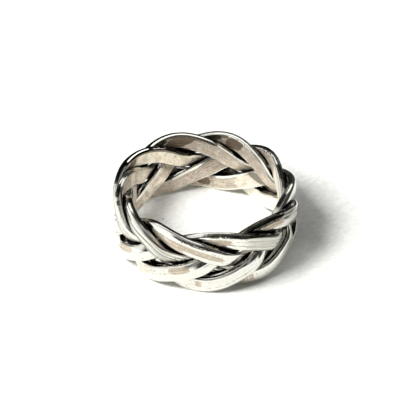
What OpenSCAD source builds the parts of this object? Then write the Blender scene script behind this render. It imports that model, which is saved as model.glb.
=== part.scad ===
// Woven band ring: five closed strands of flat-backed wire in a flat braid around the finger.
// The ring lies on its side, +Z up along the finger's axis, with the origin on the surface below its middle.

/* [Ring] */
// Radius of the middle of the woven wall
ring_r = 10; // [9.5:0.1:12]
// Rise and fall of a strand's middle from the band's mid-height
weave_rise = 3.08; // [3.0:0.02:3.2]
// Angle of the first upper bend from +X
first_bend_deg = -110; // [-180:1:180]

/* [Wire] */
// Width of the wire across its flat back
wire_w = 2.05; // [1.6:0.01:2.06]
// Thickness of the wire from its back to the top of its dome
wire_t = 1.02; // [0.8:0.01:1.03]
// Height of the straight side wall below the dome
side_h = 0.56; // [0.3:0.01:0.6]
// Bevel along both back edges
back_bevel = 0.15; // [0.1:0.01:0.2]
// Fullness of the dome: 1 is an ellipse, less is flatter on top
dome_power = 0.65; // [0.6:0.05:1]

/* [Weave] */
// Height of the wave that carries a strand over and under its neighbours
over_under = 0.745; // [0.74:0.005:0.8]
// Share of the wave that delays each crest, so a strand climbs slowly and dives fast
late_crest = 0.127; // [0.12:0.005:0.14]
// Share of the wave that holds it level across a crossing
level_hold = 0.122; // [0.11:0.005:0.13]
// Share of the wave that sharpens the dive
sharp_dive = 0.039; // [0.03:0.003:0.045]
// Share of the rise that straightens the strands between the two rims
straight_run = 0.038; // [0.03:0.002:0.045]
// How far the dive slants across the wire, in bend steps for each millimetre
slant = 0.041; // [0.03:0.002:0.05]
// Share of the thickness pressed away where a strand changes sides
dive_press = 0.2; // [0.18:0.01:0.25]
// Share of the thickness pressed away at a rim bend
bend_press = 0.054; // [0.05:0.002:0.08]
// Half length of a pressed place, in bend steps
press_len = 0.18; // [0.16:0.01:0.2]

/* [Mesh] */
// Rings of each strand between one bend and the next
rings_per_bend = 13; // [8:1:13]
// Straight stretches of the dome
dome_steps = 7; // [5:1:7]

/* [Hidden] */
silver = [0.88, 0.87, 0.84];
// A strand meets five bends along each lap, upper and lower by turns, and the ring has ten on each rim
bends = 10;
strand_period = 5;
side_period = strand_period / 2;
bend_deg = 360 / bends;
step_deg = 360 / strand_period;
pitch = 2 * PI * ring_r / bends;
ring_count = bends * rings_per_bend;
// The lowest bends stand on the surface
mid_z = weave_rise + wire_w / 2;
// Unevenness of the handwork, one row for each upper bend around the ring
TURN = 0;
LIFT = 1;
// [shift along the rim in bend steps, extra height]
bend_table = [
    [-0.23,  0.09],
    [-0.06,  0.05],
    [ 0.00,  0.03],
    [ 0.00, -0.02],
    [ 0.02, -0.07],
    [ 0.00,  0.04],
    [ 0.09,  0.11],
    [ 0.06, -0.06],
    [ 0.06, -0.03],
    [-0.15, -0.07]
];

// Value of one column of the table at a place between two bends, eased from one to the next
function uneven(place, column) =
    let (low = floor(place), ease = (1 - cos(180 * (place - low))) / 2)
    let (here = bend_table[(low + bends) % bends][column])
    let (next = bend_table[(low + bends + 1) % bends][column])
    here * (1 - ease) + next * ease;

// Height of the strand's middle from mid-height, run steps past its own upper bend
function rise(run) =
    let (a = step_deg * run)
    weave_rise * (cos(a) + straight_run * cos(3 * a)) / (1 + straight_run);

// Tilt of the strand from level at that place
function tilt(run) =
    let (a = step_deg * run)
    let (fall = sin(a) + 3 * straight_run * sin(3 * a))
    let (per_step = weave_rise * fall / (1 + straight_run) * step_deg * PI / 180)
    atan2(-per_step, pitch);

// Distance of the strand outside the wall's middle, negative where it runs on the inside
function side(run) =
    let (a = 360 / side_period * run)
    over_under * (sin(a) - late_crest * sin(2 * a) + level_hold * sin(3 * a) - sharp_dive * sin(4 * a));

// Share of the full thickness that is left, less at the rim bends and where the strand changes sides
function fullness(run) =
    let (along = run - side_period * floor(run / side_period))
    let (to_bend = min(along, side_period - along))
    let (to_dive = along - side_period / 2)
    1 - bend_press * exp(-pow(to_bend / press_len, 2)) - dive_press * exp(-pow(to_dive / press_len, 2));

// Outline of the wire as [across, out]: flat bevelled back, straight sides, low dome
wire_section = [
    [back_bevel - wire_w / 2, -wire_t / 2],
    [wire_w / 2 - back_bevel, -wire_t / 2],
    [wire_w / 2, back_bevel - wire_t / 2],
    for (i = [0 : dome_steps])
        let (a = 180 * i / dome_steps)
        [wire_w / 2 * cos(a), side_h - wire_t / 2 + (wire_t - side_h) * pow(abs(sin(a)), dome_power)],
    [-wire_w / 2, back_bevel - wire_t / 2]
];
sides = len(wire_section);

// Place in space of one point of the section, at a place around the ring
function wire_point(place, first_bend, across, out) =
    let (run = place - first_bend)
    let (turned = place - across * sin(tilt(run)) / pitch)
    let (angle = first_bend_deg + bend_deg * (turned + uneven(turned, TURN)))
    let (slanted = run - slant * sin(step_deg * run) * across)
    let (radius = ring_r + side(slanted) + out * fullness(run))
    let (extra = uneven(place, LIFT) * pow(max(0, cos(step_deg * run)), 2))
    [radius * cos(angle), radius * sin(angle), mid_z + rise(run) + across * cos(tilt(run)) + extra];

// One closed strand, a wire section carried once around the ring
module strand(first_bend) {
    points = [
        for (i = [0 : ring_count - 1], p = wire_section)
            wire_point(i / rings_per_bend, first_bend, p[0], p[1])
    ];
    faces = [
        for (i = [0 : ring_count - 1], k = [0 : sides - 1], half = [0, 1])
            let (i2 = (i + 1) % ring_count, k2 = (k + 1) % sides)
            let (a = i * sides + k, b = i2 * sides + k, c = i2 * sides + k2, d = i * sides + k2)
            half == 0 ? [a, b, c] : [a, c, d]
    ];
    color(silver) polyhedron(points = points, faces = faces, convexity = 8);
}

module strand_1() { strand(0); }
module strand_2() { strand(1); }
module strand_3() { strand(2); }
module strand_4() { strand(3); }
module strand_5() { strand(4); }

strand_1();
strand_2();
strand_3();
strand_4();
strand_5();
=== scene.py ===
"""A braided silver band ring that lies on its side on a pale table.

Five closed strands of flat-backed wire weave from rim to rim in a flat braid. Each is swept here in
the place of its solid, from the same sizes, with a finer and softer section. The ring's sizes are
in millimetres up to its finished mesh. Those of the lights and the table are in metres.
"""

import math

import bmesh
import bpy
import numpy as np
from mathutils import Matrix, Vector
from mathutils.bvhtree import BVHTree


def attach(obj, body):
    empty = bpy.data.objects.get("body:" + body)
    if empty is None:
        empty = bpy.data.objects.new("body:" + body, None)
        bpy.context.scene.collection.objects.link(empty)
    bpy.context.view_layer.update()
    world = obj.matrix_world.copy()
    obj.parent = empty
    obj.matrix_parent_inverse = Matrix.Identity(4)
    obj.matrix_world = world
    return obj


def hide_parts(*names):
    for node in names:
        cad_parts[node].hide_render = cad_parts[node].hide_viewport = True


MM = 0.001

# The ring and its wire, as in the part
RING_R = 10.0
WEAVE_RISE = 3.08
FIRST_BEND_DEG = -110.0
WIRE_W = 2.05
WIRE_T = 1.02
SIDE_H = 0.56
DOME_POWER = 0.65
OVER_UNDER = 0.745
LATE_CREST = 0.127
LEVEL_HOLD = 0.122
SHARP_DIVE = 0.039
STRAIGHT_RUN = 0.038
SLANT = 0.041
DIVE_PRESS = 0.2
BEND_PRESS = 0.054
PRESS_LEN = 0.18
BENDS = 10
STRANDS = 5
SIDE_PERIOD = STRANDS / 2
PITCH = 2 * math.pi * RING_R / BENDS
MID_Z = WEAVE_RISE + WIRE_W / 2

# Unevenness of the handwork at each upper bend: shift along the rim in bend steps, extra height
BEND_TURN = np.array([-0.23, -0.06, 0.0, 0.0, 0.02, 0.0, 0.09, 0.06, 0.06, -0.15])
BEND_LIFT = np.array([0.09, 0.05, 0.03, -0.02, -0.07, 0.04, 0.11, -0.06, -0.03, -0.07])

# The fine sweep: rings along a strand, points around its section, the radius of the back's edges,
# and how close points are that the seams weld
RINGS = 800
SIDES = 56
BACK_EDGE_R = 0.22
CORNER_STEPS = 12
DOME_STEPS = 400
WELD_WITHIN = 0.001

# Length and girth of the wire, which give its patterns their size
WIRE_LENGTH = 66.0
WIRE_GIRTH = 5.4

# Unevenness of the forged surface, left by the rollers and the hammer
FORGE_WAVES = 60
MOST_WAVES_ALONG = 24
MOST_WAVES_AROUND = 14
FORGE_HEIGHT = 0.006
FORGE_SEED = 7

# Crests of the weave are worn flat at this distance from the axis
FLAT_R = 11.13
FLAT_SOFTNESS = 0.02

# Marks of wear and age, and painted light and shade. Each chart's row holds the strand's index,
# the patch's middle and half length in bend steps, its middle and half width across the wire in
# millimetres, its lean in bend steps for each millimetre across, and its strength

# Satin patches worn on the crests
WORN_PATCHES = [
    (0, -0.10, 0.45, -0.15, 0.50, 0, 0.62),
    (0, 0.55, 0.42, 0.02, 0.36, 0, 1.0),
    (0, 0.08, 0.36, -0.62, 0.42, 0, 0.75),
    (1, -0.18, 0.32, 0.00, 0.48, 0, 0.8),
    (1, 8.16, 0.25, 0.55, 0.42, 0, 0.8),
    (2, 0.00, 0.26, 0.05, 0.45, 0, 0.8),
    (2, 7.58, 0.22, 0.15, 0.75, 0, 0.48),
    (2, 7.80, 0.20, 0.70, 0.40, 0, 0.5),
    (2, 8.36, 0.15, 0.50, 0.46, 0, 0.9),
    (2, 8.14, 0.12, 0.45, 0.45, 0, 0.38),
    (3, 7.52, 0.10, 0.10, 0.60, 0, 0.40),
    (3, 7.60, 0.05, 0.25, 0.40, 0, 0.8),
    (4, 7.38, 0.20, 0.10, 0.60, 0, 0.62),
]

# Stretches with deep drawing marks: the strand's index, middle and half length in bend steps
STREAKED_RUNS = [
    (4, 5.6, 0.8),
    (3, 5.7, 0.8),
    (1, 0.7, 0.35),
]

# Dark mottled tarnish on the domes, with painted dark reflections on their shoulders and painted
# shade along their outer edges
STAINS_AND_PAINTED_REFLECTIONS = [
    (1, 0.20, 0.50, 0.90, 0.25, 0, 1.0),
    (2, -0.17, 0.38, 0.80, 0.36, 0, 1.4),
    (2, 0.36, 0.24, 1.00, 0.16, 0, 0.8),
    (0, 0.46, 0.26, 0.80, 0.14, 0, 0.75),
    (0, 2.95, 0.14, 1.00, 0.10, 0, 1.4),
    (2, 0.60, 0.40, 0.45, 0.35, 0, 0.8),
    (3, 5.25, 0.16, 1.00, 0.20, 0, 1.2),
    (3, 5.55, 0.06, 1.00, 0.12, 0, 0.9),
    (4, 5.00, 0.25, 0.45, 0.20, 0, 0.9),
    (1, 5.20, 0.75, 1.00, 0.20, 0, 1.6),
    (2, 5.10, 0.62, 1.00, 0.30, 0, 1.6),
    (2, 4.15, 0.30, 1.00, 0.22, 0, 1.0),
    (0, 5.00, 1.00, 1.00, 0.12, 0, 1.0),
    (4, 0.10, 0.80, 1.00, 0.25, 0, 1.2),
    (3, 7.90, 0.50, 1.04, 0.03, 0, 1.1),
    (4, 8.15, 0.40, 1.04, 0.03, 0, 1.1),
]

# Edges painted black as shade and dark reflection, and ends painted in shadow, from the back to the
# dome's foot
PAINTED_SHADE_EDGES = [
    (0, -0.12, 0.66, 1.02, 0.22, 0, 1.6),
    (1, 0.45, 0.35, 1.02, 0.20, 0, 1.0),
    (2, -0.15, 0.60, 1.02, 0.22, 0, 1.2),
    (2, 4.15, 0.30, 1.02, 0.20, 0, 1.0),
    (2, 5.07, 0.32, 1.00, 0.14, 0, 1.6),
    (3, 0.00, 0.50, 1.02, 0.20, 0, 0.85),
    (4, 0.05, 0.30, 1.02, 0.20, 0, 0.52),
    (4, 5.10, 0.50, 1.02, 0.28, 0, 1.4),
    (2, 3.42, 0.22, 0.00, 1.20, -0.09, 1.3),
    (0, 5.42, 0.18, 0.60, 0.32, 0, 1.1),
    (1, 5.42, 0.16, 0.60, 0.32, 0, 1.1),
]

# Edges painted white as highlights
PAINTED_HIGHLIGHT_EDGES = [
    (0, 6.80, 0.60, 1.02, 0.12, 0, 1.2),
    (4, 1.85, 0.32, 1.02, 0.18, 0, 1.2),
    (3, 1.95, 0.42, 1.02, 0.18, 0, 1.2),
    (3, 2.10, 0.65, -0.88, 0.15, 0, 1.2),
    (1, 4.10, 0.28, 1.02, 0.12, 0, 1.0),
    (3, 7.90, 0.52, 1.02, 0.12, 0, 1.2),
    (4, 8.15, 0.40, 1.02, 0.12, 0, 1.2),
]

# Side walls painted white as highlights
PAINTED_HIGHLIGHT_WALLS = [
    (0, 4.62, 0.72, 1.02, 0.12, 0, 1.2),
    (1, 5.02, 0.50, 1.02, 0.12, 0, 1.2),
    (2, 5.07, 0.24, 1.02, 0.12, 0, 1.2),
    (3, 7.90, 0.52, 1.02, 0.12, 0, 1.2),
    (4, 8.15, 0.40, 1.02, 0.12, 0, 1.2),
]

# Domes worn to a pale satin and painted near white as a sheen
PALE_DOMES = [
    (1, 0.75, 0.48, 0.10, 0.85, 0, 0.62),
    (2, 0.48, 0.34, 0.30, 0.75, 0, 0.60),
    (4, 5.75, 0.45, 0.00, 0.70, 0, 0.42),
    (3, 5.95, 0.35, 0.20, 0.70, 0, 0.42),
]

# Olive painted shade along the backs' upper edges, and one painted shadow beside a crossing
OLIVE_PAINTED_SHADE_BANDS = [
    (2, 4.60, 0.62, 0.86, 0.22, 0, 1.0),
    (1, 4.95, 0.55, 0.88, 0.20, 0, 1.0),
    (0, 5.35, 0.25, 0.80, 0.30, 0, 0.8),
    (3, 1.34, 0.09, 0.00, 1.10, 0.12, 0.6),
]

# Backs worn free of tarnish and painted with light, and backs painted with a brown shadow beside a
# crossing
CLEAN_AND_PAINTED_LIGHT_BACKS = [
    (2, 4.42, 0.75, 0.00, 1.00, -0.09, 0.8),
    (3, 4.62, 0.10, 0.00, 0.90, 0, 0.9),
    (0, 6.60, 0.50, 0.00, 1.00, 0, 0.3),
    (3, 1.45, 0.45, 0.00, 1.05, 0, 0.9),
    (2, 2.15, 0.80, 0.00, 1.10, 0, 1.15),
    (4, 9.45, 0.36, 0.00, 1.10, 0.06, 1.15),
]
PAINTED_SHADOW_BACKS = [
    (0, 5.00, 0.19, 0.10, 0.85, -0.07, 0.8),
    (1, 5.00, 0.17, 0.00, 0.80, -0.155, 1.1),
    (1, 5.20, 0.10, 0.30, 0.60, -0.155, 0.75),
    (3, 2.54, 0.12, 0.10, 0.60, 0, 0.75),
    (2, 5.25, 0.12, 0.30, 0.50, 0, 0.65),
]

# A patch is a rounded rectangle that fades out across its edge, in shares of its half lengths
PATCH_POWER = 3
PATCH_END = 1.12
PATCH_FADE = 0.24

# Heights that bound the marks, from the middle of the wire's thickness. The bright wall has a
# middle and a half height
BACK_TO = -WIRE_T / 2 + 0.01
OLIVE_TO = -0.40
PAINTED_HIGHLIGHT_EDGE_TO = -0.30
PAINTED_HIGHLIGHT_WALL = (-0.22, 0.13)
STAINS_AND_REFLECTIONS_FROM = -0.08
PAINTED_SHADE_EDGE_TO = -0.05
WORN_FROM = 0.0
PALE_DOME_FROM = 0.05

# How the darkened recesses are found, with rays of this reach from points lifted off the surface
SHADE_RINGS = 200
SHADE_SIDES = 28
SHADE_RAYS = 40
SHADE_REACH = 2.2
SHADE_LIFT = 0.06

# Names of the attributes that carry a strand's marks
MARKS = ("recess", "back", "worn", "stained_and_painted_shade", "bright", "olive", "clean_and_painted_light", "painted_shadow", "streaked")

# Noises drawn out along the wire: waves for each millimetre along and across it, and detail
GRAINS = {"facets": (0.06, 2.2, 1.0), "lines": (0.10, 5.0, 3.0), "scratches": (1.2, 12.0, 2.0)}

# Noises through the metal: waves for each millimetre, and detail
MOTTLES = {"clouds": (0.9, 4.0), "freckles": (5.0, 3.0)}
NOISE_ROUGHNESS = 0.6

# Limits that hold nearly all of a noise's values, or its middle ones
WIDE = (0.3, 0.7)
MIDDLE = (0.35, 0.65)

# Limits between which each mark fades in
WORN_EDGE = (0.40, 0.62)
PAINTED_HIGHLIGHT_AND_RUB_LIMITS = (0.3, 0.7)
RECESS_EDGE = (0.42, 0.52)
BACK_RECESS_EDGE = (0.62, 0.72)
SHADED_EDGE = (0.44, 0.70)
CLEAN_AND_LIT_EDGE = (0.1, 0.9)
CLEANEST_AND_LIT_EDGE = (0.85, 1.45)
BROWN_EDGE = (0.3, 0.7)
OLIVE_EDGE = (0.3, 0.7)
STAIN_AND_SHADE_EDGE = (0.45, 0.60)
BLACK_STAIN_AND_SHADE_EDGE = (1.0, 1.4)
GROOVE_EDGE = (0.62, 0.72)

# How much noise is added to each mark, either way, to make its edges ragged
WORN_RAGGED = 0.22
RECESS_RAGGED = 0.12
CLEAN_AND_LIT_RAGGED = 0.3
BROWN_RAGGED = 0.18
STAIN_AND_SHADE_FRECKLED = 0.35
STAIN_AND_SHADE_STREAKED = 0.3

# How streaks thin out the painted highlights and the pale satin domes, how uneven the recesses
# are, and how far deep drawing marks widen the grooves
PAINTED_HIGHLIGHT_AND_RUB_STREAKED = (0.12, -0.18)
SHUT_CLOUDED = 0.10
SHUT_FRECKLED = 0.08
GROOVES_WIDENED = 0.21

# How much of the colour under it each mark hides
GROOVE_SHARE = 0.8
SHADED_SHARE = 0.7
PAINTED_SHADOW_SHARE = 0.9
OLIVE_SHARE = 0.85
STAIN_AND_SHADE_SHARE = 0.9

# Colours of the metal, its marks and its painted light and shade
POLISHED = (0.85, 0.835, 0.78, 1)
# Dark of the reflections painted along the grooves
PAINTED_GROOVE_REFLECTION = (0.20, 0.19, 0.16, 1)
# White of the painted highlights, and of the painted sheen on pale satin domes
PAINTED_HIGHLIGHT_AND_SHEEN_WHITE = (0.98, 0.955, 0.86, 1)
SATIN_BACK = (0.58, 0.51, 0.42, 1)
SHADED_BACK = (0.20, 0.15, 0.10, 1)
# Creams of the backs worn free of tarnish and painted with light
CREAM = (0.97, 0.90, 0.75, 1)
CLEANEST_LIT_CREAM = (0.98, 0.96, 0.88, 1)
# Brown-black of the painted shadow beside crossings
PAINTED_SHADOW_BROWN = (0.06, 0.036, 0.02, 1)
# Olive of the painted shade on the backs' upper edges
OLIVE_PAINTED_SHADE = (0.13, 0.125, 0.09, 1)
CREST = (0.70, 0.61, 0.50, 1)
# Dark of the tarnish, painted shade and painted dark reflections, and of their blackest parts
STAIN_AND_PAINTED_SHADE = (0.07, 0.065, 0.045, 1)
BLACK_STAIN_AND_PAINTED_SHADE = (0.012, 0.012, 0.010, 1)
RECESS_BLACK = (0.006, 0.006, 0.005, 1)

# Layers of noise over these colours: the noise, the limits between which it shows, its share, and
# its colour
BACK_LAYERS = [
    ("clouds", 0.35, 0.65, 1.0, (0.78, 0.70, 0.60, 1)),
    ("lines", 0.42, 0.62, 0.6, (0.48, 0.40, 0.31, 1)),
    ("freckles", 0.50, 0.62, 0.7, (0.44, 0.33, 0.25, 1)),
    ("scratches", 0.56, 0.68, 0.6, (0.94, 0.90, 0.82, 1)),
]
CREAM_LAYERS = [("freckles", 0.48, 0.62, 0.45, (0.66, 0.54, 0.40, 1))]
# Lines through the painted brown shadow
PAINTED_SHADOW_LAYERS = [("lines", 0.35, 0.65, 1.0, (0.24, 0.17, 0.115, 1))]
CREST_LAYERS = [
    ("lines", 0.4, 0.6, 1.0, (0.50, 0.42, 0.33, 1)),
    ("freckles", 0.52, 0.64, 0.7, (0.86, 0.81, 0.72, 1)),
]

# How metallic the backs, the painted highlights and the pale satin domes are, and how rough each
# finish is
BACK_METALLIC = 0.6
PAINTED_HIGHLIGHT_AND_RUB_METALLIC = 0.25
POLISHED_ROUGHNESS = (0.06, 0.15)
SATIN_ROUGHNESS = (0.42, 0.58)
BLACK_ROUGHNESS = 0.45
PAINTED_HIGHLIGHT_AND_RUB_ROUGHNESS = 0.35

# Depths of the relief in millimetres: smooth and streaked, or polished and satin
FACET_DEPTH = (0.02, 0.11)
LINE_DEPTH = (0.012, 0.05)
SCRATCH_DEPTH = (0.0008, 0.003)

# The room around the ring, in soft-edged panels: azimuth, elevation, half width and half height in
# degrees, brightness
ROOM_PANELS = [
    (-84, 12, 38, 40, 1.0),
    (-78, 60, 44, 16, 0.95),
    (0, 80, 130, 16, 0.50),
    (-12, 34, 28, 22, 0.26),
    (0, 4, 10, 8, 0.90),
    (46, 22, 8, 16, 0.40),
    (130, 58, 18, 10, 0.35),
]
PANEL_SOFTNESS = 9.0
ROOM_DARK = 0.045
ROOM_COLOUR = (1.0, 0.99, 0.97, 1)

# Share of the room's light that reaches surfaces that scatter it
ROOM_ON_MATT = 0.68

# Soft lights: azimuth and elevation in degrees, distance, width and height, brightness. The key
# has a second lamp of its own for its mirror image
KEY = (-62, 51, 0.5, (0.20, 0.20), 26)
KEY_GLINT = (-62, 51, 0.5, (0.18, 0.18), 12)
BACK_LIGHT = (-178, 42, 0.6, (1.0, 0.30), 1.1)

# Small lamps that lighten one place each: azimuth, elevation, distance, the place, the lit circle's
# radius, brightness
FILLS = {
    "inner_fill": (90, 65, 0.3, (-0.0064, 0.0050, 0.0), 0.008, 0.16),
    "outer_fill": (100, 50, 0.3, (0.0125, -0.0050, 0.0), 0.006, 0.14),
    "back_fill": (90, 38, 0.3, (-0.0065, 0.0060, 0.0055), 0.0050, 1.2),
}
FILL_LAMP_R = 0.001

# The table's edges, and those of its parts that the metal mirrors: left, right, near and far.
# These parts lie this many millimetres above it
TABLE_EDGES = (-1.5, 1.5, -1.5, 1.5)
LIT_PARTS = [(-0.3, 0.3, -0.3, -0.008), (-0.3, 0.022, -0.008, 0.020)]
LIT_PART_LIFT = 0.02

# The table's brush marks: their slant, their length and width in millimetres, and two whites
BRUSH_TURN = 35.0
BRUSH_MARKS = (1.0, 0.45)
BRUSH_NOISE = {"Scale": 1.0, "Detail": 4.0, "Roughness": 0.7, "Distortion": 0.5}
TABLE_DULL = (0.81, 0.815, 0.78, 1)
TABLE_WHITE = (0.97, 0.975, 0.94, 1)
TABLE_ROUGHNESS = 0.9

# The speck of dust: its place, its inner and outer radius in millimetres, its share and colour
SPECK = (-0.0050, 0.0032, 0.0)
SPECK_R = (0.04, 0.17)
SPECK_SHARE = 0.7
SPECK_COLOUR = (0.05, 0.05, 0.05, 1)

# The photograph's camera: angles in degrees, distance, aim and sensor in millimetres, the metres
# between which it sees, and the pixel that shows its aim
CAMERA_ELEVATION = 38.25
CAMERA_DISTANCE = 571.4
CAMERA_ROLL = 1.812
CAMERA_AIM = (0.0, 0.0, 4.1)
CAMERA_SENSOR = 36.0
CAMERA_REACH = (0.01, 10.0)
IMAGE_SIDE = 416
PIXELS_PER_MM = 8.37
AIM_PIXEL = (204.8, 210.0)


def uneven(place, column):
    """The column's value at a place between two bends, eased from one to the next."""
    low = np.floor(place)
    ease = (1 - np.cos(math.pi * (place - low))) / 2
    here = low.astype(int) % BENDS
    return column[here] * (1 - ease) + column[(here + 1) % BENDS] * ease


def rise(run):
    """Height of a strand's middle from mid-height, run steps past its own upper bend."""
    angle = 2 * math.pi * run / STRANDS
    return WEAVE_RISE * (np.cos(angle) + STRAIGHT_RUN * np.cos(3 * angle)) / (1 + STRAIGHT_RUN)


def tilt(run):
    """Tilt of the strand from level there."""
    angle = 2 * math.pi * run / STRANDS
    fall = np.sin(angle) + 3 * STRAIGHT_RUN * np.sin(3 * angle)
    return np.arctan2(-WEAVE_RISE * fall / (1 + STRAIGHT_RUN) * 2 * math.pi / STRANDS, PITCH)


def side(run):
    """Distance of the strand outside the wall's middle, negative on the inside."""
    angle = 2 * math.pi * run / SIDE_PERIOD
    wave = np.sin(angle) - LATE_CREST * np.sin(2 * angle)
    return OVER_UNDER * (wave + LEVEL_HOLD * np.sin(3 * angle) - SHARP_DIVE * np.sin(4 * angle))


def fullness(run):
    """Share of the full thickness that is left at the rim bends and the dives."""
    along = np.mod(run, SIDE_PERIOD)
    to_bend = np.minimum(along, SIDE_PERIOD - along)
    to_dive = along - SIDE_PERIOD / 2
    pressed = BEND_PRESS * np.exp(-((to_bend / PRESS_LEN) ** 2))
    return 1 - pressed - DIVE_PRESS * np.exp(-((to_dive / PRESS_LEN) ** 2))


def section(count):
    """The wire's outline as (across, out), evenly spaced from the middle of its flat back."""
    half, back = WIRE_W / 2, -WIRE_T / 2
    turn = np.linspace(0, math.pi / 2, CORNER_STEPS)
    corner = np.stack([half - BACK_EDGE_R + BACK_EDGE_R * np.sin(turn),
                       back + BACK_EDGE_R - BACK_EDGE_R * np.cos(turn)], 1)
    turn = np.linspace(0, math.pi, DOME_STEPS)
    dome = np.stack([half * np.cos(turn),
                     back + SIDE_H + (WIRE_T - SIDE_H) * np.abs(np.sin(turn)) ** DOME_POWER], 1)
    far_corner = corner[::-1] * (-1, 1)
    outline = np.concatenate([[(0, back)], corner, dome, far_corner, [(0, back)]])
    length = np.concatenate([[0], np.cumsum(np.linalg.norm(np.diff(outline, axis=0), axis=1))])
    even = np.linspace(0, length[-1], count + 1)
    return np.stack([np.interp(even, length, outline[:, i]) for i in (0, 1)], 1)


def wire_points(place, first_bend, across, out):
    """Points in space of the section's points, at places around the ring in bend steps."""
    run = place - first_bend
    lean = tilt(run)
    turned = place - across * np.sin(lean) / PITCH
    angle = np.radians(FIRST_BEND_DEG + 360 / BENDS * (turned + uneven(turned, BEND_TURN)))
    bend_angle = 2 * math.pi * run / STRANDS
    radius = RING_R + side(run - SLANT * np.sin(bend_angle) * across) + out * fullness(run)
    extra = uneven(place, BEND_LIFT) * np.maximum(0, np.cos(bend_angle)) ** 2
    height = MID_Z + rise(run) + across * np.cos(lean) + extra
    return np.stack([radius * np.cos(angle), radius * np.sin(angle), height], -1)


def forged(seed, rings, sides):
    """Heights of the long facets and shallow dents over the strand's closed surface."""
    chance = np.random.default_rng(seed)
    along = np.linspace(0, 2 * math.pi, rings + 1)[:, None]
    around = np.linspace(0, 2 * math.pi, sides + 1)[None, :]
    height = np.zeros((rings + 1, sides + 1))
    for _ in range(FORGE_WAVES):
        waves_along = chance.integers(-MOST_WAVES_ALONG, MOST_WAVES_ALONG + 1)
        waves_around = chance.integers(1, MOST_WAVES_AROUND + 1)
        phase = chance.uniform(0, 2 * math.pi)
        wave = np.sin(waves_along * along + waves_around * around + phase)
        height += wave / math.sqrt(waves_around)
    return height * FORGE_HEIGHT / math.sqrt(FORGE_WAVES / 2)


def strand_grid(first_bend, rings, sides):
    """The strand's surface as an open grid of points, rings by sides, both ends repeated."""
    outline = section(sides)
    place = np.linspace(0, BENDS, rings + 1)[:, None]
    return wire_points(place, first_bend, outline[None, :, 0], outline[None, :, 1])


def worn_flat(grid):
    """The points with every crest of the weave rubbed down to one height."""
    radius = np.linalg.norm(grid[..., :2], axis=-1)
    over = (radius - FLAT_R) / FLAT_SOFTNESS
    left = radius - FLAT_SOFTNESS * np.logaddexp(0, over)
    flat = grid.copy()
    flat[..., :2] *= (left / radius)[..., None]
    return flat


def short_way(steps):
    """A distance in bend steps around the ring, taken the short way and signed."""
    return np.mod(steps + BENDS / 2, BENDS) - BENDS / 2


def charted(chart, index, run, across):
    """How strongly the chart's patches mark each point of a strand."""
    share = np.zeros_like(run)
    for strand_index, middle, half_length, centre, half_width, lean, strength in chart:
        if strand_index != index:
            continue
        along = np.abs(short_way(run - middle - lean * across) / half_length)
        aside = np.abs((across - centre) / half_width)
        reach = (along**PATCH_POWER + aside**PATCH_POWER) ** (1 / PATCH_POWER)
        share = np.maximum(share, strength * np.clip((PATCH_END - reach) / PATCH_FADE, 0, 1))
    return share


def surface_normals(grid):
    """Outward directions of a closed grid of points, rings by sides."""
    along = np.roll(grid, -1, 0) - np.roll(grid, 1, 0)
    around = np.roll(grid, -1, 1) - np.roll(grid, 1, 1)
    normal = np.cross(around, along)
    return normal / np.linalg.norm(normal, axis=2, keepdims=True)


def hemisphere(count):
    """A golden-angle spiral of directions about +Z, thick near it as a matt surface sees them."""
    step = np.arange(count)
    height = np.sqrt(1 - (step + 0.5) / count)
    turn = step * math.pi * (3 - math.sqrt(5))
    flat = np.sqrt(1 - height**2)
    return np.stack([flat * np.cos(turn), flat * np.sin(turn), height], 1)


def metal_around(nodes):
    """A search tree of all the solids, in millimetres."""
    corners, faces = [], []
    for node in nodes.values():
        start = len(corners)
        corners += [vertex.co / MM for vertex in node.data.vertices]
        faces += [[start + i for i in polygon.vertices] for polygon in node.data.polygons]
    return BVHTree.FromPolygons(corners, faces)


def enclosure(first_bend, metal):
    """How closely other metal shuts in each point of the strand, from 0 to 1."""
    grid = strand_grid(first_bend, SHADE_RINGS, SHADE_SIDES)[:-1, :-1]
    normal = surface_normals(grid)
    rays = hemisphere(SHADE_RAYS)
    shut = np.zeros(normal.shape[:2])
    for i, j in np.ndindex(shut.shape):
        outward = Vector(normal[i, j])
        start = Vector(grid[i, j]) + SHADE_LIFT * outward
        spread = np.array(outward.to_track_quat("Z", "X").to_matrix())
        for ray in rays @ spread.T:
            distance = metal.ray_cast(start, Vector(ray), SHADE_REACH)[3]
            if distance is not None:
                shut[i, j] += (1 - distance / SHADE_REACH) / SHADE_RAYS
    return shut


def sampled(values, along, around):
    """Values of a closed grid at places given as shares of its two lengths."""
    rows, columns = values.shape
    row, column = along * rows, around * columns
    i, j = np.floor(row).astype(int), np.floor(column).astype(int)
    a, b = row - i, column - j
    i, next_i = i % rows, (i + 1) % rows
    j, next_j = j % columns, (j + 1) % columns
    top = values[i, j] * (1 - b) + values[i, next_j] * b
    low = values[next_i, j] * (1 - b) + values[next_i, next_j] * b
    return top * (1 - a) + low * a


def streaked(index, run):
    """How strongly the drawing marks show at each point of a strand, from 0 to 1."""
    strength = np.zeros_like(run)
    for strand_index, middle, half_length in STREAKED_RUNS:
        if strand_index == index:
            off = short_way(run - middle)
            strength = np.maximum(strength, np.exp(-((off / half_length) ** 4)))
    return strength


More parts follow.
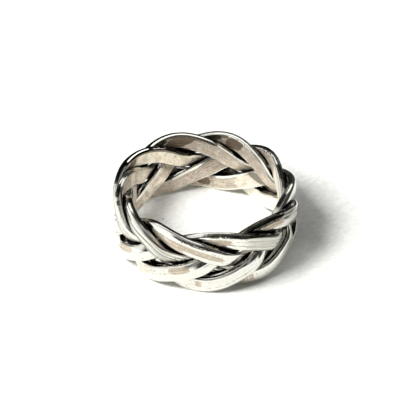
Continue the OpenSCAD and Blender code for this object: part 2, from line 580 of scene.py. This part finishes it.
def marks(index, run, across, out):
    """The charted marks of each point of a strand, by the attribute that carries them."""
    def marked(chart, where):
        return np.where(where, charted(chart, index, run, across), 0.0)

    # Painted highlights on edges and walls, and domes worn to a pale satin with a painted sheen
    wall_middle, wall_half = PAINTED_HIGHLIGHT_WALL
    bright = marked(PAINTED_HIGHLIGHT_EDGES, out < PAINTED_HIGHLIGHT_EDGE_TO)
    bright = bright + marked(PAINTED_HIGHLIGHT_WALLS, np.abs(out - wall_middle) < wall_half)
    bright = bright + marked(PALE_DOMES, out > PALE_DOME_FROM)
    # Tarnish with painted dark reflections, then edges painted with shade
    stains_and_reflections = marked(STAINS_AND_PAINTED_REFLECTIONS, out > STAINS_AND_REFLECTIONS_FROM)
    return {
        "back": np.where(out < BACK_TO, 1.0, 0.0),
        "worn": marked(WORN_PATCHES, out > WORN_FROM),
        "stained_and_painted_shade": np.maximum(stains_and_reflections, marked(PAINTED_SHADE_EDGES, out < PAINTED_SHADE_EDGE_TO)),
        "bright": bright,
        # Olive painted shade
        "olive": marked(OLIVE_PAINTED_SHADE_BANDS, out < OLIVE_TO),
        # Backs painted with light, and backs painted with a brown shadow
        "clean_and_painted_light": charted(CLEAN_AND_PAINTED_LIGHT_BACKS, index, run, across),
        "painted_shadow": charted(PAINTED_SHADOW_BACKS, index, run, across),
        "streaked": streaked(index, run),
    }


def strand(index, metal, material):
    """One closed strand: a grid laid along the wire's sweep and welded along its two seams, with
    its marks of wear and age, and its painted light and shade, as attributes."""
    name = f"silver_strand_{index + 1}"
    sweep = bmesh.new()
    sweep.loops.layers.uv.new("wire")
    bmesh.ops.create_grid(sweep, x_segments=RINGS, y_segments=SIDES, size=0.5, calc_uvs=True)
    share = np.array([vertex.co[:2] for vertex in sweep.verts]) + 0.5
    ring, corner = np.round(share * (RINGS, SIDES)).astype(int).T

    grid = strand_grid(index, RINGS, SIDES)
    outward = surface_normals(grid[:-1, :-1])
    outward = np.pad(outward, ((0, 1), (0, 1), (0, 0)), mode="wrap")
    grid = worn_flat(grid + outward * forged(FORGE_SEED + index, RINGS, SIDES)[..., None]) * MM
    across, out = section(SIDES)[corner].T
    run = ring * BENDS / RINGS - index
    recess = sampled(enclosure(index, metal), share[:, 0], share[:, 1])
    looks = {"recess": recess, **marks(index, run, across, out)}
    layers = [sweep.verts.layers.float.new(name) for name in looks]
    for vertex, point, *values in zip(sweep.verts, grid[ring, corner], *looks.values()):
        vertex.co = point
        for layer, value in zip(layers, values):
            vertex[layer] = value
    bmesh.ops.remove_doubles(sweep, verts=sweep.verts, dist=MM * WELD_WITHIN)
    bmesh.ops.recalc_face_normals(sweep, faces=sweep.faces)
    for face in sweep.faces:
        face.smooth = True
    mesh = bpy.data.meshes.new(name)
    sweep.to_mesh(mesh)
    sweep.free()
    mesh.materials.append(material)
    piece = bpy.data.objects.new(name, mesh)
    bpy.context.scene.collection.objects.link(piece)
    return piece


def feed(tree, socket, value):
    """Set a node's input to a value, or link it from the socket that gives one."""
    if isinstance(value, bpy.types.NodeSocket):
        tree.links.new(value, socket)
    else:
        socket.default_value = value


def new_node(tree, kind, **values):
    """A node with some of its inputs fed, by name."""
    node = tree.nodes.new(kind)
    for name, value in values.items():
        feed(tree, node.inputs[name], value)
    return node


def attribute(tree, name):
    """The value that a strand's mesh carries under this name."""
    node = tree.nodes.new("ShaderNodeAttribute")
    node.attribute_name = name
    return node.outputs["Fac"]


def between(tree, value, low, high, first=0.0, last=1.0):
    """The value eased from low..high to first..last."""
    node = new_node(tree, "ShaderNodeMapRange", Value=value)
    node.interpolation_type = "SMOOTHSTEP"
    for name, limit in (("From Min", low), ("From Max", high), ("To Min", first), ("To Max", last)):
        node.inputs[name].default_value = limit
    return node.outputs["Result"]


def math_of(tree, operation, first, second):
    """One sum, product or the like of two values."""
    node = tree.nodes.new("ShaderNodeMath")
    node.operation = operation
    feed(tree, node.inputs[0], first)
    feed(tree, node.inputs[1], second)
    return node.outputs["Value"]


def mixed(tree, kind, share, first, second):
    """A blend of two values or colours."""
    node = tree.nodes.new("ShaderNodeMix")
    node.data_type = kind
    inputs, output = {"FLOAT": ((0, 2, 3), 0), "RGBA": ((0, 6, 7), 2)}[kind]
    for number, value in zip(inputs, (share, first, second)):
        feed(tree, node.inputs[number], value)
    return node.outputs[output]


def wire_grain_group():
    """Noise drawn out along the wire, with no seam where the strand closes."""
    group = bpy.data.node_groups.new("wire_grain", "ShaderNodeTree")
    sockets = group.interface
    for name in ("Along", "Across", "Detail"):
        sockets.new_socket(name, in_out="INPUT", socket_type="NodeSocketFloat")
    sockets.new_socket("Value", in_out="OUTPUT", socket_type="NodeSocketFloat")
    given = group.nodes.new("NodeGroupInput")
    result = group.nodes.new("NodeGroupOutput")
    map_of = group.nodes.new("ShaderNodeUVMap")
    map_of.uv_map = "wire"
    parts = new_node(group, "ShaderNodeSeparateXYZ", Vector=map_of.outputs["UV"])
    turn = math_of(group, "MULTIPLY", parts.outputs["X"], 2 * math.pi)
    length = math_of(group, "MULTIPLY", given.outputs["Along"], WIRE_LENGTH / (2 * math.pi))
    width = math_of(group, "MULTIPLY", given.outputs["Across"], WIRE_GIRTH)
    place = new_node(group, "ShaderNodeCombineXYZ",
                     X=math_of(group, "MULTIPLY", math_of(group, "COSINE", turn, 0.0), length),
                     Y=math_of(group, "MULTIPLY", math_of(group, "SINE", turn, 0.0), length),
                     Z=math_of(group, "MULTIPLY", parts.outputs["Y"], width))
    noise = new_node(group, "ShaderNodeTexNoise", Vector=place.outputs["Vector"],
                     Scale=1.0, Detail=given.outputs["Detail"], Roughness=NOISE_ROUGHNESS)
    group.links.new(noise.outputs["Fac"], result.inputs["Value"])
    return group


def wire_grain(tree, group, along, across, detail):
    """The grain's value with its own waves per millimetre along and across the wire."""
    node = tree.nodes.new("ShaderNodeGroup")
    node.node_tree = group
    node.inputs["Along"].default_value = along
    node.inputs["Across"].default_value = across
    node.inputs["Detail"].default_value = detail
    return node.outputs["Value"]


def mottle(tree, per_mm, detail):
    """Cloudy noise through the metal."""
    place = tree.nodes.new("ShaderNodeTexCoord").outputs["Object"]
    noise = new_node(tree, "ShaderNodeTexNoise", Vector=place, Scale=per_mm / MM, Detail=detail,
                     Roughness=NOISE_ROUGHNESS)
    return noise.outputs["Fac"]


def relief_of(tree, *layers):
    """Bumped normals from (value, height in millimetres) pairs."""
    height = 0.0
    for value, depth in layers:
        height = math_of(tree, "ADD", height, math_of(tree, "MULTIPLY", value, depth))
    bump = new_node(tree, "ShaderNodeBump", Strength=1.0, Distance=MM, Height=height)
    return bump.outputs["Normal"]


def painted(tree, under, share, over):
    """One colour laid over another, by a share from 0 to 1."""
    return mixed(tree, "RGBA", share, under, over)


def layered(tree, noise, colour, layers):
    """A colour with layers of noise painted over it."""
    for name, low, high, share, paint in layers:
        colour = painted(tree, colour, between(tree, noise[name], low, high, 0.0, share), paint)
    return colour


def ragged(tree, value, noise, limits, amount):
    """The value with noise added, up to amount either way, so that its edges come out ragged."""
    return math_of(tree, "ADD", value, between(tree, noise, *limits, -amount, amount))


def painted_highlight_and_rub_share(tree, mark, noise):
    """Where the metal is painted white: highlights on edges and walls, and a sheen on pale satin
    domes.
    """
    streaks = between(tree, noise["lines"], *MIDDLE, *PAINTED_HIGHLIGHT_AND_RUB_STREAKED)
    return between(tree, math_of(tree, "ADD", mark["bright"], streaks), *PAINTED_HIGHLIGHT_AND_RUB_LIMITS)


def shut_in(tree, mark, noise):
    """How closely other metal shuts a place in, made uneven."""
    clouds = math_of(tree, "MULTIPLY", noise["clouds"], SHUT_CLOUDED)
    freckles = math_of(tree, "MULTIPLY", noise["freckles"], SHUT_FRECKLED)
    return math_of(tree, "ADD", mark["recess"], math_of(tree, "ADD", clouds, freckles))


def recess_share(tree, mark, noise, shut):
    """Where the recesses are black, which on the backs is only deep inside."""
    streaky = ragged(tree, shut, noise["lines"], WIDE, RECESS_RAGGED)
    outside = between(tree, streaky, *RECESS_EDGE)
    return mixed(tree, "FLOAT", mark["back"], outside, between(tree, shut, *BACK_RECESS_EDGE))


def back_colour(tree, mark, noise, shut):
    """The satin backs: cloudy, lined, freckled and scratched; some places worn free of tarnish and
    painted with light, some painted with a brown shadow, some shaded.
    """
    # Backs worn free of tarnish and painted with light
    clean_and_lit = ragged(tree, mark["clean_and_painted_light"], noise["clouds"], MIDDLE, CLEAN_AND_LIT_RAGGED)
    cream = layered(tree, noise, CREAM, CREAM_LAYERS)
    cream = painted(tree, cream, between(tree, clean_and_lit, *CLEANEST_AND_LIT_EDGE), CLEANEST_LIT_CREAM)
    # Painted brown shadow beside crossings
    painted_shadow = ragged(tree, mark["painted_shadow"], noise["freckles"], WIDE, BROWN_RAGGED)
    painted_shadow_colour = layered(tree, noise, PAINTED_SHADOW_BROWN, PAINTED_SHADOW_LAYERS)
    shaded = between(tree, shut, *SHADED_EDGE, 0.0, SHADED_SHARE)
    shaded = mixed(tree, "FLOAT", mark["back"], 0.0, shaded)

    colour = layered(tree, noise, SATIN_BACK, BACK_LAYERS)
    colour = painted(tree, colour, between(tree, clean_and_lit, *CLEAN_AND_LIT_EDGE), cream)
    colour = painted(tree, colour, between(tree, painted_shadow, *BROWN_EDGE, 0.0, PAINTED_SHADOW_SHARE), painted_shadow_colour)
    return painted(tree, colour, shaded, SHADED_BACK)


def polished_colour(tree, mark, noise):
    """The polished metal, with dark reflections painted along the grooves where the drawing marks
    are deep.
    """
    deepened = math_of(tree, "MULTIPLY", mark["streaked"], GROOVES_WIDENED)
    grooves = math_of(tree, "ADD", noise["lines"], deepened)
    return painted(tree, POLISHED, between(tree, grooves, *GROOVE_EDGE, 0.0, GROOVE_SHARE), PAINTED_GROOVE_REFLECTION)


def stained_and_shaded(tree, mark, noise, colour):
    """The colour under its mottled tarnish, painted shade and dark reflections, black where they
    are strongest.
    """
    stain_and_shade = ragged(tree, mark["stained_and_painted_shade"], noise["freckles"], WIDE, STAIN_AND_SHADE_FRECKLED)
    stain_and_shade = ragged(tree, stain_and_shade, noise["lines"], MIDDLE, STAIN_AND_SHADE_STREAKED)
    colour = painted(tree, colour, between(tree, stain_and_shade, *STAIN_AND_SHADE_EDGE, 0.0, STAIN_AND_SHADE_SHARE), STAIN_AND_PAINTED_SHADE)
    return painted(tree, colour, between(tree, stain_and_shade, *BLACK_STAIN_AND_SHADE_EDGE), BLACK_STAIN_AND_PAINTED_SHADE)


def silver_relief(tree, mark, noise, satin):
    """The relief: facets and drawing marks, deep on streaked runs, and scratches, deep on satin."""
    facet_depth = between(tree, mark["streaked"], 0.0, 1.0, *FACET_DEPTH)
    line_depth = between(tree, mark["streaked"], 0.0, 1.0, *LINE_DEPTH)
    scratch_depth = between(tree, satin, 0.0, 1.0, *SCRATCH_DEPTH)
    return relief_of(tree, (noise["facets"], facet_depth), (noise["lines"], line_depth),
                     (noise["scratches"], scratch_depth))


def silver():
    """Silver: bright polished edges, a satin back, worn satin crests, black recesses and painted
    light and shade.
    """
    material = bpy.data.materials.new("oxidised_silver")
    material.use_nodes = True
    tree = material.node_tree
    shader = tree.nodes["Principled BSDF"]
    grain = wire_grain_group()
    noise = {name: wire_grain(tree, grain, *values) for name, values in GRAINS.items()}
    noise |= {name: mottle(tree, *values) for name, values in MOTTLES.items()}
    mark = {name: attribute(tree, name) for name in MARKS}

    worn = ragged(tree, mark["worn"], noise["freckles"], WIDE, WORN_RAGGED)
    worn = between(tree, worn, *WORN_EDGE)
    satin = math_of(tree, "MAXIMUM", mark["back"], worn)
    # Painted highlights, and the painted sheen of pale satin domes
    painted_highlight_and_rub = painted_highlight_and_rub_share(tree, mark, noise)
    shut = shut_in(tree, mark, noise)
    dark = mixed(tree, "FLOAT", painted_highlight_and_rub, recess_share(tree, mark, noise, shut), 0.0)

    colour = polished_colour(tree, mark, noise)
    colour = painted(tree, colour, worn, layered(tree, noise, CREST, CREST_LAYERS))
    colour = painted(tree, colour, mark["back"], back_colour(tree, mark, noise, shut))
    # Olive painted shade along the backs' upper edges
    olive = between(tree, mark["olive"], *OLIVE_EDGE, 0.0, OLIVE_SHARE)
    colour = painted(tree, colour, olive, OLIVE_PAINTED_SHADE)
    # Tarnish, painted shade and painted dark reflections
    colour = stained_and_shaded(tree, mark, noise, colour)
    colour = painted(tree, colour, dark, RECESS_BLACK)
    colour = painted(tree, colour, painted_highlight_and_rub, PAINTED_HIGHLIGHT_AND_SHEEN_WHITE)
    tree.links.new(colour, shader.inputs["Base Color"])

    metallic = mixed(tree, "FLOAT", mark["back"], 1.0, BACK_METALLIC)
    metallic = mixed(tree, "FLOAT", painted_highlight_and_rub, metallic, PAINTED_HIGHLIGHT_AND_RUB_METALLIC)
    tree.links.new(metallic, shader.inputs["Metallic"])
    polished_rough = between(tree, noise["lines"], *WIDE, *POLISHED_ROUGHNESS)
    satin_rough = between(tree, noise["scratches"], *WIDE, *SATIN_ROUGHNESS)
    rough = mixed(tree, "FLOAT", satin, polished_rough, satin_rough)
    rough = mixed(tree, "FLOAT", dark, rough, BLACK_ROUGHNESS)
    rough = mixed(tree, "FLOAT", painted_highlight_and_rub, rough, PAINTED_HIGHLIGHT_AND_RUB_ROUGHNESS)
    tree.links.new(rough, shader.inputs["Roughness"])
    tree.links.new(silver_relief(tree, mark, noise, satin), shader.inputs["Normal"])
    return material


def table_material():
    """White painted card with faint brush marks and one speck of dust."""
    material = bpy.data.materials.new("white_table")
    material.use_nodes = True
    tree = material.node_tree
    shader = tree.nodes["Principled BSDF"]
    place = tree.nodes.new("ShaderNodeTexCoord").outputs["Object"]
    brush_length, brush_width = BRUSH_MARKS
    turned = new_node(tree, "ShaderNodeMapping", Vector=place,
                      Rotation=(0, 0, math.radians(BRUSH_TURN)),
                      Scale=(brush_length * MM, brush_width * MM, 1))
    turned.vector_type = "TEXTURE"
    brushed = new_node(tree, "ShaderNodeTexNoise", Vector=turned.outputs["Vector"], **BRUSH_NOISE)
    white = painted(tree, TABLE_DULL, between(tree, brushed.outputs["Fac"], *WIDE), TABLE_WHITE)
    apart = tree.nodes.new("ShaderNodeVectorMath")
    apart.operation = "DISTANCE"
    feed(tree, apart.inputs[0], place)
    feed(tree, apart.inputs[1], SPECK)
    inner, outer = SPECK_R
    speck = between(tree, apart.outputs["Value"], inner * MM, outer * MM, SPECK_SHARE, 0.0)
    tree.links.new(painted(tree, white, speck, SPECK_COLOUR), shader.inputs["Base Color"])
    shader.inputs["Roughness"].default_value = TABLE_ROUGHNESS
    shader.inputs["Specular IOR Level"].default_value = 0.0
    return material


def flat_sheet(name, left, right, near, far, height):
    """A flat rectangle with its edges at these distances from the ring's axis."""
    mesh = bpy.data.meshes.new(name)
    plane = bmesh.new()
    bmesh.ops.create_grid(plane, x_segments=1, y_segments=1, size=0.5)
    for vertex in plane.verts:
        vertex.co.x = left + (right - left) * (vertex.co.x + 0.5)
        vertex.co.y = near + (far - near) * (vertex.co.y + 0.5)
        vertex.co.z = height
    plane.to_mesh(mesh)
    plane.free()
    sheet = bpy.data.objects.new(name, mesh)
    bpy.context.scene.collection.objects.link(sheet)
    return sheet


def table():
    """The pale surface that the ring lies on; the metal mirrors only its lit parts."""
    material = table_material()
    surface = flat_sheet("table", *TABLE_EDGES, 0.0)
    surface.data.materials.append(material)
    surface.visible_glossy = False
    for number, edges in enumerate(LIT_PARTS):
        lit_part = flat_sheet(f"table_lit_part_{number + 1}", *edges, LIT_PART_LIFT * MM)
        lit_part.data.materials.append(material)
        lit_part.visible_camera = False
        lit_part.visible_diffuse = False
        lit_part.visible_shadow = False


def direction(azimuth, elevation):
    """A direction from the ring, with azimuth 0 towards the viewer and 90 to the viewer's right."""
    a, e = math.radians(azimuth), math.radians(elevation)
    return Vector((math.sin(a) * math.cos(e), -math.cos(a) * math.cos(e), math.sin(e)))


def facing(away):
    """The turn that points a lamp back along this direction."""
    return away.to_track_quat("Z", "Y").to_matrix().to_4x4()


def soft_light(name, azimuth, elevation, distance, size, radiance):
    """A rectangular soft light that faces the ring; radiance is how bright its face is."""
    light = bpy.data.lights.new(name, "AREA")
    light.shape = "RECTANGLE"
    light.size, light.size_y = size
    light.energy = radiance * math.pi * size[0] * size[1]
    lamp = bpy.data.objects.new(name, light)
    bpy.context.scene.collection.objects.link(lamp)
    away = direction(azimuth, elevation)
    lamp.matrix_world = Matrix.Translation(away * distance) @ facing(away)
    return lamp


def spot(name, azimuth, elevation, distance, aim, radius, strength):
    """A small lamp that lights one soft-edged circle around its aim and shows in no reflection."""
    light = bpy.data.lights.new(name, "SPOT")
    light.spot_size = 2 * math.atan(radius / distance)
    light.spot_blend = 1.0
    light.shadow_soft_size = FILL_LAMP_R
    light.energy = strength * 4 * math.pi**2 * distance**2
    lamp = bpy.data.objects.new(name, light)
    bpy.context.scene.collection.objects.link(lamp)
    away = direction(azimuth, elevation)
    lamp.matrix_world = Matrix.Translation(Vector(aim) + away * distance) @ facing(away)
    lamp.visible_glossy = False
    lamp.visible_camera = False


def panel_light(tree, turn, height, panel):
    """The brightness of one soft-edged panel of the room in each direction."""
    azimuth, elevation, half_width, half_height, strength = panel

    def within(angle, middle, half, most):
        off = math_of(tree, "ABSOLUTE", math_of(tree, "SUBTRACT", angle, middle), 0.0)
        return between(tree, off, half - PANEL_SOFTNESS, half + PANEL_SOFTNESS, most, 0.0)

    in_width = within(turn, azimuth, half_width, strength)
    return math_of(tree, "MULTIPLY", in_width, within(height, elevation, half_height, 1.0))


def room():
    """A dim room with a tall window on the viewer's left, a pale ceiling and a few pale things."""
    world = bpy.data.worlds.new("room")
    bpy.context.scene.world = world
    world.use_nodes = True
    tree = world.node_tree
    towards = tree.nodes.new("ShaderNodeTexCoord").outputs["Generated"]
    parts = new_node(tree, "ShaderNodeSeparateXYZ", Vector=towards)
    ahead = math_of(tree, "MULTIPLY", parts.outputs["Y"], -1.0)
    turn = math_of(tree, "ARCTAN2", parts.outputs["X"], ahead)
    turn = math_of(tree, "MULTIPLY", turn, 180 / math.pi)
    height = math_of(tree, "ARCSINE", parts.outputs["Z"], 0.0)
    height = math_of(tree, "MULTIPLY", height, 180 / math.pi)
    brightness = ROOM_DARK
    for panel in ROOM_PANELS:
        brightness = math_of(tree, "MAXIMUM", brightness, panel_light(tree, turn, height, panel))
    ray = tree.nodes.new("ShaderNodeLightPath")
    share = mixed(tree, "FLOAT", ray.outputs["Is Diffuse Ray"], 1.0, ROOM_ON_MATT)
    background = tree.nodes["Background"]
    tree.links.new(math_of(tree, "MULTIPLY", brightness, share), background.inputs["Strength"])
    background.inputs["Color"].default_value = ROOM_COLOUR


def lights():
    """The key light with its mirror image, the fills and the light from behind."""
    soft_light("key", *KEY).visible_glossy = False
    for name, values in FILLS.items():
        spot(name, *values)
    soft_light("key_glint", *KEY_GLINT).visible_diffuse = False
    soft_light("back", *BACK_LIGHT)


def camera():
    """The photograph's view of the ring."""
    lens = bpy.data.cameras.new("camera")
    lens.sensor_width = CAMERA_SENSOR
    lens.lens = PIXELS_PER_MM * CAMERA_DISTANCE / IMAGE_SIDE * lens.sensor_width
    lens.shift_x = (IMAGE_SIDE / 2 - AIM_PIXEL[0]) / IMAGE_SIDE
    lens.shift_y = (AIM_PIXEL[1] - IMAGE_SIDE / 2) / IMAGE_SIDE
    lens.clip_start, lens.clip_end = CAMERA_REACH
    view = bpy.data.objects.new("camera", lens)
    bpy.context.scene.collection.objects.link(view)
    away = direction(0, CAMERA_ELEVATION)
    right = Vector((1, 0, 0))
    up = away.cross(right)
    roll = math.radians(CAMERA_ROLL)
    turned_right = right * math.cos(roll) + up * math.sin(roll)
    turned_up = up * math.cos(roll) - right * math.sin(roll)
    axes = Matrix((turned_right, turned_up, away)).transposed().to_4x4()
    place = (Vector(CAMERA_AIM) + away * CAMERA_DISTANCE) * MM
    view.matrix_world = Matrix.Translation(place) @ axes
    bpy.context.scene.camera = view


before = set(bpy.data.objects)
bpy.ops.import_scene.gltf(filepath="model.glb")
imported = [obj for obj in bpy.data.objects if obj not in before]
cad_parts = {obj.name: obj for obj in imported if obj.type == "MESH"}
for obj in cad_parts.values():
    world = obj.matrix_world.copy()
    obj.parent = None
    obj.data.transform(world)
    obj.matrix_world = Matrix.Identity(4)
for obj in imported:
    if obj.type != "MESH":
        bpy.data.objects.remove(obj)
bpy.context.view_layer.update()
camera()
bpy.context.scene.view_settings.view_transform = "Standard"

metal = metal_around(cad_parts)
finish = silver()
for index in range(STRANDS):
    piece = strand(index, metal, finish)
    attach(piece, "root")
    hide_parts(f"strand_{index + 1}")

table()
room()
lights()
